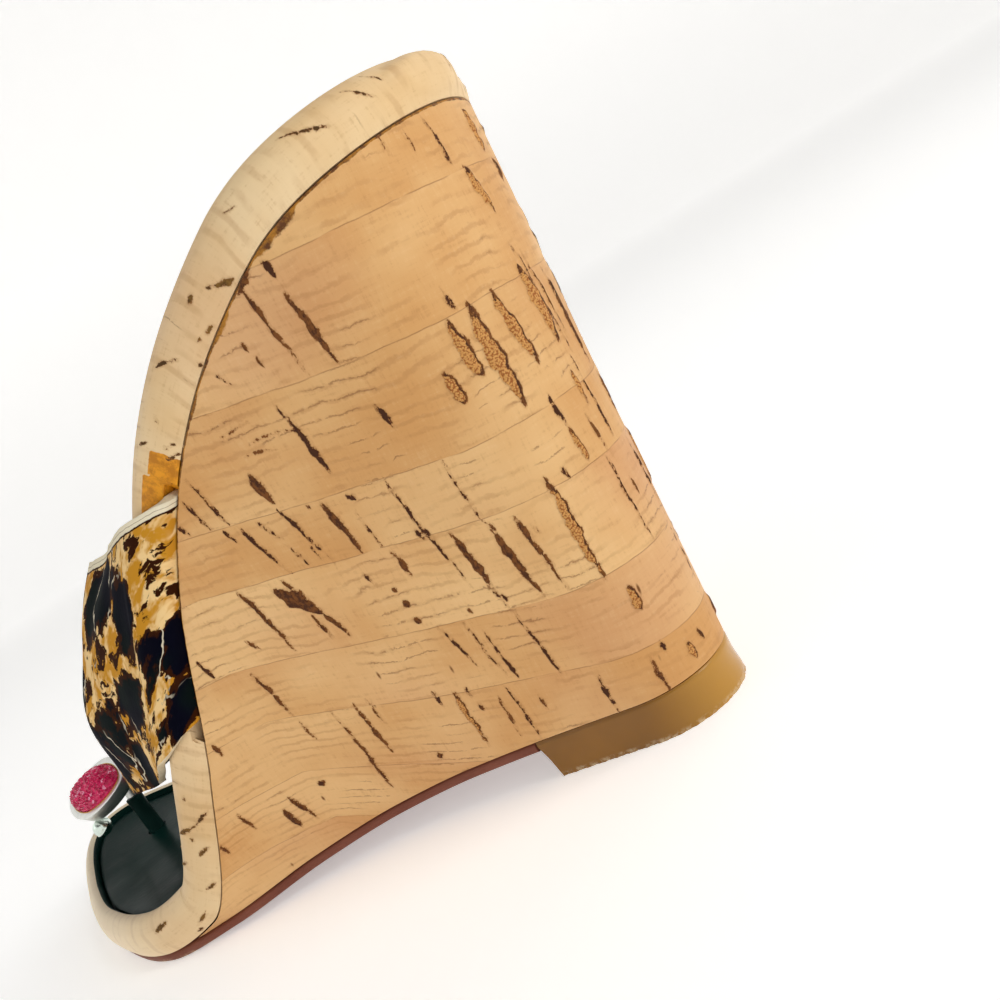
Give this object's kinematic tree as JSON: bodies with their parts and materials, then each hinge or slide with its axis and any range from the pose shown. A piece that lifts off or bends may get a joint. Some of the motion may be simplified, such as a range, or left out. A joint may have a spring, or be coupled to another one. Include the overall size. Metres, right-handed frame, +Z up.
{
  "type": "wedge sandal",
  "caption": "Left cork-covered high wedge thong sandal with a printed leather upper, a toe post and a set stone, standing on its sole.",
  "frame": {"origin": "on the floor, under the middle of the shoe's outer box", "axes": "+Z up, toe towards -Y, heel towards +Y, outer side of the foot towards +X"},
  "size_m": [0.0812, 0.2136, 0.1213],
  "materials": {
    "lift_rubber": "satin",
    "sole_rubber": "satin",
    "cork_veneer": "satin",
    "rim_cork": "satin",
    "sock_leather": "gloss",
    "print_leather": "gloss",
    "post_leather": "satin",
    "silver_metal": "gloss",
    "pink_stone": "gloss"
  },
  "bodies": {
    "root": {"top_lift": "lift_rubber", "outsole": "sole_rubber", "wedge": "cork_veneer", "footbed": "rim_cork", "insole": "sock_leather", "upper": "print_leather", "toe_post": "post_leather", "bezel": "silver_metal", "bead_outer": "silver_metal", "bead_inner": "silver_metal", "stone": "pink_stone"}
  },
  "joints": []
}
